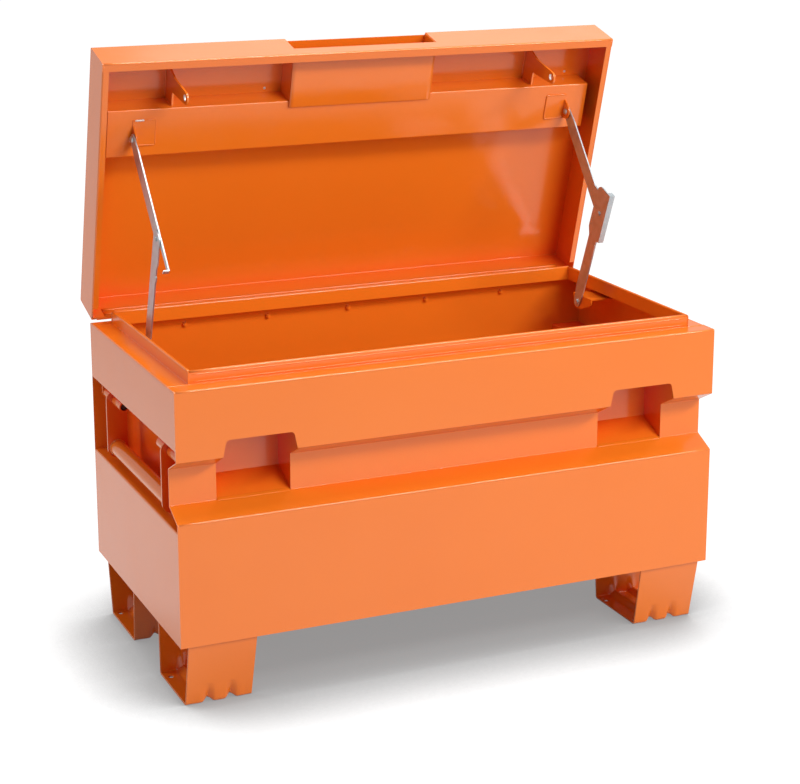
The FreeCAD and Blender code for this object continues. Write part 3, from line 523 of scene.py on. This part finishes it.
def folded_edges():
    """Bend skins along the body's edges that catch the light."""
    up, ahead = (0, 0, 1), (0, -1, 0)
    front, rear = -HALF_DEPTH + FOLD, HALF_DEPTH - FOLD
    end = HALF_LENGTH - FOLD_INSET
    slope = np.array((0.0, -math.sin(SHOULDER_SLOPE), math.cos(SHOULDER_SLOPE)))
    inset = FOLD * math.tan((math.pi / 2.0 - SHOULDER_SLOPE) / 2.0)
    bend("shoulder_bend", (-end, front, SHOULDER - inset), (end, front, SHOULDER - inset),
         ahead, slope, "body")
    bend("ledge_front_bend", (-end, front, LEDGE - FOLD), (end, front, LEDGE - FOLD),
         ahead, up, "body")
    for side, word in ((-1.0, "left"), (1.0, "right")):
        x = side * (HALF_LENGTH - FOLD)
        bend(word + "_ledge_bend", (x, front, LEDGE - FOLD), (x, rear, LEDGE - FOLD),
             (side, 0, 0), up, "body")


def rim_hem():
    """The rim's folded top: a circle carried round the opening with square corners."""
    radius, inset, drop = 0.0034, 0.0032, 0.0029
    around, stations = 16, 25
    z = RIM_TOP - drop
    x = RIM_HALF_LENGTH - inset
    low, high = RIM_FRONT + inset, RIM_REAR - inset
    corners = np.array([(-x, low), (x, low), (x, high), (-x, high)])
    outward = np.array([(-1, -1), (1, -1), (1, 1), (-1, 1)], float)
    turn = np.linspace(0.0, 2.0 * np.pi, around, endpoint=False)
    ring = np.zeros((5, around, 3))
    for k in range(5):
        spread = corners[k % 4] + outward[k % 4] * radius * np.cos(turn)[:, None]
        ring[k] = np.concatenate([spread, z + radius * np.sin(turn)[:, None]], axis=1)
    share = np.linspace(0.0, 1.0, stations)[:, None, None]
    for k, word in enumerate(("front", "right", "rear", "left")):
        run = ring[k] * (1.0 - share) + ring[k + 1] * share
        surface("rim_hem_" + word, run, ORANGE, "body", True, True)


def rim_swages():
    """Two shallow stiffening lines pressed along the rim's front wall."""
    x, y = RIM_HALF_LENGTH - 0.006, RIM_FRONT - 0.0002
    for word, z in (("low", LEDGE + 0.0052), ("high", LEDGE + 0.0192)):
        weld("rim_swage_" + word, [(-x, y, z), (x, y, z)], 0.0011, "body", 0.05)


def rim_corners():
    """Upright beads where the rim's four walls meet."""
    low, high = LEDGE + 0.0005, RIM_TOP - 0.0015
    for x, end in ((-RIM_HALF_LENGTH, "left"), (RIM_HALF_LENGTH, "right")):
        for y, wall in ((RIM_FRONT, "front"), (RIM_REAR, "rear")):
            weld("rim_corner_%s_%s" % (end, wall), [(x, y, low), (x, y, high)], 0.0014, "body")


def pocket_strip(side, word):
    """The ground weld that carries the shoulder on into the floor of a lock pocket.

    A circle flattened to 4.5 mm by 0.6 mm, laid at the slope of the floor.
    """
    slope = math.radians(25.0)
    inner, outer = 0.3495, 0.5030
    behind, height = -0.2455, 0.41765
    around = 20
    turn = np.linspace(0.0, 2.0 * np.pi, around, endpoint=False)
    flat, thick = 0.0045 * np.cos(turn), 0.0006 * np.sin(turn)
    y = behind + flat * math.cos(slope) - thick * math.sin(slope)
    z = height + flat * math.sin(slope) + thick * math.cos(slope)
    x = side * np.linspace(inner, outer, 31)
    ring = np.stack([np.zeros(around), y, z], axis=1)
    points = ring[None, :, :] + np.stack([x, 0.0 * x, 0.0 * x], axis=1)[:, None, :]
    surface(word + "_pocket_strip", points, ORANGE, "body", True, True)


def handle_details(side, word):
    """Painted shade in the tube ends of a handle's sleeves, and the weld round each end of its
    grip.

    The weld is a ring 17.2 mm in radius and 1.8 mm thick, swelling 24 times round.
    """
    x = side * HANDLE_X
    pin_end, grip_end = 0.1355, 0.1908
    ring_radius, bead, swells = 0.0172, 0.0018, 24.0
    turn = np.linspace(0.0, 2.0 * np.pi, 97)[:, None]
    tube = np.linspace(0.0, 2.0 * np.pi, 10, endpoint=False)[None, :]
    thick = bead * (1.0 + SWELL * np.cos(swells * turn))
    radial = ring_radius + thick * np.cos(tube)
    for way, label in ((-1.0, "front"), (1.0, "rear")):
        # A thin dark disc at each sleeve end, painted shade for the bore.
        dome("%s_sleeve_bore_shade_%s" % (word, label), (x, way * pin_end, HANDLE_PIVOT),
             (0, -way, 0), 0.0078, 0.0004, BORE_SHADE, "body", 0.9, 24, 4)
        ring = np.stack([x + radial * np.cos(turn), way * grip_end + thick * np.sin(tube),
                         HANDLE_GRIP + radial * np.sin(turn)], axis=-1)
        surface("%s_grip_weld_%s" % (word, label), ring, ORANGE, word + "_handle", wrap=True)


# Lid -----------------------------------------------------------------------

def lid_edges():
    """Bend skins round the mouth of the lid, where its walls turn in."""
    origin = in_lid(0.0, 0.0, 0.0)
    to_front = in_lid(0.0, -1.0, 0.0) - origin
    to_mouth = in_lid(0.0, 0.0, -1.0) - origin
    x, near, far = LID_HALF_LENGTH - FOLD, FOLD, LID_DEPTH - FOLD
    bend("lid_mouth_front_bend", in_lid(-x, near, FOLD), in_lid(x, near, FOLD), to_front,
         to_mouth, "lid")
    bend("lid_mouth_rear_bend", in_lid(-x, far, FOLD), in_lid(x, far, FOLD), -to_front,
         to_mouth, "lid")
    for side, word in ((-1.0, "left"), (1.0, "right")):
        out = np.array([side, 0.0, 0.0])
        bend("lid_mouth_%s_bend" % word, in_lid(side * x, near, FOLD),
             in_lid(side * x, far, FOLD), out, to_mouth, "lid")


def hasp_details(side, word):
    """The weld round a hasp's root, and a pale steel ring round its padlock eye as painted
    highlight.

    The rim is a ring 6.8 mm in radius, with an oval section 0.7 mm by 2.6 mm.
    """
    x = side * HASP_X
    beside = 0.0028                # from the hasp's middle plane to a bead
    root, root_start, root_end = LID_INSIDE - 0.0005, 0.040, RAIL_FRONT - 0.002
    rail, rail_start, rail_end = RAIL_FRONT - 0.0005, 0.046, 0.088
    eye_radius, rim_thick, rim_wide = 0.0068, 0.0007, 0.0026
    for label, gap in (("in", -beside), ("out", beside)):
        start = in_lid(x + gap, root_start, root)
        end = in_lid(x + gap, root_end, root)
        weld(word + "_hasp_weld_" + label, [start, end], 0.0017, "lid")
        foot = in_lid(x + gap, rail, rail_start)
        head = in_lid(x + gap, rail, rail_end)
        weld(word + "_hasp_rail_weld_" + label, [foot, head], 0.0018, "lid")
    # The pale ring is a painted highlight on the eye's edge.
    turn = np.linspace(0.0, 2.0 * np.pi, 29, endpoint=False)[:, None]
    tube = np.linspace(0.0, 2.0 * np.pi, 8, endpoint=False)[None, :]
    radius = eye_radius + rim_thick * np.cos(tube)
    ring = in_lid(x + rim_wide * np.sin(tube), HASP_EYE[0] + radius * np.cos(turn),
                  HASP_EYE[1] + radius * np.sin(turn))
    closed = np.concatenate([ring, ring[:1]], axis=0)
    surface(word + "_hasp_eye_rim", closed, GLINT_STEEL, "lid", wrap=True)


def bracket_details(side, word):
    """Weld beads round the stay's tab on the rail, and a pale painted highlight beside the left
    one.
    """
    face = RAIL_FACE - 0.001
    tab = 0.050
    outer = STAY_INSIDE[word] - STAY_GAP
    inner = outer - tab
    low, high = 0.145, 0.202
    corners = [(outer, low), (inner, low), (inner, high), (outer, high)]
    for label, (a, b) in enumerate(zip(corners[:-1], corners[1:])):
        path = [in_lid(side * a[0], a[1], face), in_lid(side * b[0], b[1], face)]
        weld("%s_bracket_weld_%d" % (word, label + 1), path, 0.0018, "lid")
    # A pale steel bead on the left tab's edge as painted highlight.
    if word == "left":
        glint = [in_lid(side * (outer - reach), low, face - 0.0006) for reach in (0.003, 0.026)]
        weld("left_bracket_glint", glint, 0.0021, "lid", 0.006, GLINT_STEEL)


def stay_rivets(side, word):
    """Pressed heads at both ends of the rivet that joins a stay to its lid bracket."""
    inside = in_lid(side * (STAY_INSIDE[word] - STAY_GAP - EAR_SHEET), *STAY_EYE)
    outside = in_lid(side * STAY_OUTSIDE[word], *STAY_EYE)
    dome(word + "_stay_head_rivet", inside, (-side, 0, 0), 0.0072, 0.0034, ZINC, "lid")
    dome(word + "_stay_head_rivet_outer", outside, (side, 0, 0), 0.0078, 0.0040, ZINC, "lid")


def stay_ear(side, word):
    """The round eye of a stay's bracket, standing out of the rail as far as its rivet.

    Its outline is an arc of 220 degrees round the pivot, closed by two straight
    edges that run back to the rail's face.
    """
    behind, above = STAY_EYE
    reach, proud, soft = 0.0165, 0.0001, 0.0006
    turn = np.linspace(math.radians(-200.0), math.radians(20.0), 37)
    around = np.stack([behind + reach * np.cos(turn), above + reach * np.sin(turn)], axis=1)
    root = np.array([[behind + 0.021, RAIL_FACE - 0.0005], [behind - 0.027, RAIL_FACE - 0.0005]])
    outline = np.concatenate([around, root])
    placed = in_lid(0.0, outline[:, 0], outline[:, 1])[:, 1:]
    outer = STAY_INSIDE[word] - STAY_GAP - proud
    slab(word + "_stay_ear", placed, side * (outer - EAR_SHEET), side * outer, soft, ORANGE,
         "lid")


def hinge_strip():
    """A strip inside the lid's rear wall that backs up the hinge, with rounded edges.

    Its section is a 1.6 mm by 34 mm bar with half-round edges, carried along X. Two
    shallow lines are pressed along it.
    """
    half, low, high, end = 0.0008, 0.0048, 0.0372, 0.56
    edge = np.linspace(0.0, np.pi, 9)
    top = np.stack([-half * np.cos(edge), high + half * np.sin(edge)], axis=1)
    bottom = np.stack([half * np.cos(edge), low - half * np.sin(edge)], axis=1)
    section = np.concatenate([top, bottom])
    wall = LID_DEPTH - 0.002
    bar("hinge_strip", np.linspace(-end, end, 41), wall - half + section[:, 0], section[:, 1],
        "lid")
    for number, above in enumerate((0.012, 0.0295)):
        ends = [in_lid(x, wall - 0.0022, above) for x in (-end, end)]
        weld("hinge_strip_swage_%d" % (number + 1), ends, 0.0024, "lid", 0.05)


def grip_face():
    """The cover of the hand slot, folded down over the rail so its free edge stands proud.

    Its section is a bar 3.2 mm thick with half-round edges, carried along X.
    """
    half, near, far, end, height = 0.0016, 0.0040, 0.1335, 0.1662, 0.0316
    turn = np.linspace(0.0, np.pi, 9)
    free = np.stack([far + half * np.sin(turn), half * np.cos(turn)], axis=1)
    held = np.stack([near - half * np.sin(turn), -half * np.cos(turn)], axis=1)
    section = np.concatenate([free, held])
    bar("grip_face", np.linspace(-end, end, 31), section[:, 0], height + section[:, 1], "lid")


def spot_welds():
    """Two shallow round spots inside the lid's top, where a welder joined its sheets, coloured
    pale steel as painted highlight.
    """
    to_inside = in_lid(0.0, 0.0, 0.0) - in_lid(0.0, 0.0, 1.0)
    for number, x in enumerate((-0.203, 0.532)):
        # Pale steel: painted highlight on the spots.
        dome("lid_spot_%d" % (number + 1), in_lid(x, 0.112, LID_INSIDE - 0.0001), to_inside,
             0.0032, 0.0008, GLINT_STEEL, "lid", 0.5, 16, 5)


for side, word in ((-1.0, "left"), (1.0, "right")):
    for front in (True, False):
        pressed_foot(side, front)
        foot_welds(side, front)
    hasp_details(side, word)
    bracket_details(side, word)
    stay_rivets(side, word)
    stay_ear(side, word)
    pocket_strip(side, word)
    handle_details(side, word)
folded_edges()
lid_edges()
rim_hem()
rim_swages()
rim_corners()
hinge_strip()
grip_face()
spot_welds()


# Studio --------------------------------------------------------------------

def studio_floor():
    """A flat white floor. The camera sees it at paper white, less a soft contact shadow.

    To the camera and in reflections most of its light is given off evenly and dims
    where the box closes over it. The rest is the light that falls on it. In
    reflections it is a pool of light that fades between 1.2 m and 3 m.
    """
    half, given_off = 20.0, 0.8
    made, tree = new_material("white_seamless_paper")
    path = add(tree, "ShaderNodeLightPath")
    paper = add(tree, "ShaderNodeBsdfDiffuse", Color=(0.50, 0.50, 0.50, 1.0))
    seen = add(tree, "ShaderNodeMath", [(0, path.outputs["Is Camera Ray"]),
                                        (1, path.outputs["Is Glossy Ray"])],
               operation="MAXIMUM")
    share = add(tree, "ShaderNodeMath", [(0, seen.outputs[0])], operation="MULTIPLY")
    share.inputs[1].default_value = given_off
    open_sky = add(tree, "ShaderNodeAmbientOcclusion", samples=16, Distance=0.32)
    contrast = add(tree, "ShaderNodeMapRange", [("Value", open_sky.outputs["AO"])])
    contrast.inputs["From Min"].default_value = 0.15
    contrast.inputs["From Max"].default_value = 0.87
    curve = add(tree, "ShaderNodeMath", [(0, contrast.outputs["Result"])], operation="POWER")
    curve.inputs[1].default_value = 3.0
    level = add(tree, "ShaderNodeMapRange", [("Value", curve.outputs[0])])
    level.inputs["To Min"].default_value = 0.35
    level.inputs["To Max"].default_value = 1.25
    place = add(tree, "ShaderNodeTexCoord").outputs["Object"]
    away = add(tree, "ShaderNodeVectorMath", [(0, place)], operation="LENGTH")
    pool = add(tree, "ShaderNodeMapRange", [("Value", away.outputs["Value"])])
    pool.inputs["From Min"].default_value = 1.2
    pool.inputs["From Max"].default_value = 3.0
    pool.inputs["To Min"].default_value = 0.93
    pool.inputs["To Max"].default_value = 0.66
    kept = add(tree, "ShaderNodeMath", [(0, pool.outputs["Result"]),
                                        (1, path.outputs["Is Camera Ray"])],
               operation="MAXIMUM")
    given = add(tree, "ShaderNodeMath", [(0, level.outputs["Result"]), (1, kept.outputs[0])],
                operation="MULTIPLY")
    glow = add(tree, "ShaderNodeEmission", [("Strength", given.outputs[0])])
    sheet = add(tree, "ShaderNodeMixShader", [(0, share.outputs[0]), (1, paper.outputs["BSDF"]),
                                              (2, glow.outputs["Emission"])])
    add(tree, "ShaderNodeOutputMaterial", [("Surface", sheet.outputs["Shader"])])
    mesh = bpy.data.meshes.new("studio_floor")
    x, y = np.meshgrid((-half, half), (-half, half))
    points = np.stack([x.ravel(), y.ravel(), np.zeros(4)], axis=1)
    mesh.from_pydata(points.tolist(), [], [(0, 1, 3, 2)])
    mesh.materials.append(made)
    floor = bpy.data.objects.new("studio_floor", mesh)
    bpy.context.scene.collection.objects.link(floor)


def studio_world():
    """White walls all round: full white to the camera, less in reflections and as light."""
    in_reflections, as_light = 0.62, 0.34
    world = bpy.data.worlds.new("studio")
    bpy.context.scene.world = world
    world.use_nodes = True
    tree = world.node_tree
    tree.nodes.clear()
    path = add(tree, "ShaderNodeLightPath")
    seen = add(tree, "ShaderNodeMath", [(0, path.outputs["Is Camera Ray"]),
                                        (1, path.outputs["Is Glossy Ray"])],
               operation="MAXIMUM")
    light = add(tree, "ShaderNodeBackground", Color=(1.0, 1.0, 1.0, 1.0), Strength=as_light)
    level = add(tree, "ShaderNodeMapRange", [("Value", path.outputs["Is Camera Ray"])])
    level.inputs["To Min"].default_value = in_reflections
    level.inputs["To Max"].default_value = 1.0
    white = add(tree, "ShaderNodeBackground", [("Strength", level.outputs["Result"])],
                Color=(1.0, 1.0, 1.0, 1.0))
    mix = add(tree, "ShaderNodeMixShader", [(0, seen.outputs[0]), (1, light.outputs[0]),
                                            (2, white.outputs[0])])
    add(tree, "ShaderNodeOutputWorld", [("Surface", mix.outputs[0])])


def softbox(name, place, target, width, height, power, mirrored):
    """A rectangular lamp that faces its target, seen in reflections only if mirrored."""
    lamp = bpy.data.lights.new(name, "AREA")
    lamp.shape = "RECTANGLE"
    lamp.size = width
    lamp.size_y = height
    lamp.energy = power
    holder = bpy.data.objects.new(name, lamp)
    holder.location = place
    away = np.array(place) - np.array(target)
    holder.rotation_euler = (math.atan2(math.hypot(away[0], away[1]), away[2]), 0.0,
                             math.atan2(away[0], -away[1]))
    holder.visible_camera = False
    holder.visible_glossy = mirrored
    bpy.context.scene.collection.objects.link(holder)


def camera():
    """Seen from the front left, looking 24 degrees to the right and 14 down.

    The lens is shifted by a tenth of the frame, so the box sits in its middle.
    """
    look_down, look_right = math.radians(13.815), math.radians(23.862)
    lens = bpy.data.cameras.new("camera")
    lens.lens = 89.67
    lens.sensor_width = 36.0
    lens.shift_y = -0.1
    lens.clip_end = 50.0
    holder = bpy.data.objects.new("camera", lens)
    holder.location = (-1.6747, -3.7842, 1.7083)
    holder.rotation_euler = (0.5 * math.pi - look_down, 0.0, -look_right)
    bpy.context.scene.collection.objects.link(holder)
    bpy.context.scene.camera = holder


studio_floor()
studio_world()
box_middle = (0.0, 0.0, 0.5)
softbox("key", (2.6, -8.0, 2.9), (0.0, 0.0, 0.6), 4.5, 4.5, 235.0, False)
softbox("strip", (1.9, -3.3, 3.5), box_middle, 3.2, 0.5, 155.0, True)
softbox("overhead", (0.0, -0.3, 4.2), box_middle, 2.4, 0.9, 74.0, True)
softbox("side", (-4.0, 2.2, 1.7), box_middle, 2.0, 2.0, 62.0, False)
softbox("rim", (1.9, 3.2, 3.9), (0.0, 0.3, 1.0), 2.4, 1.6, 10.0, True)
camera()

bpy.context.scene.view_settings.view_transform = "Standard"
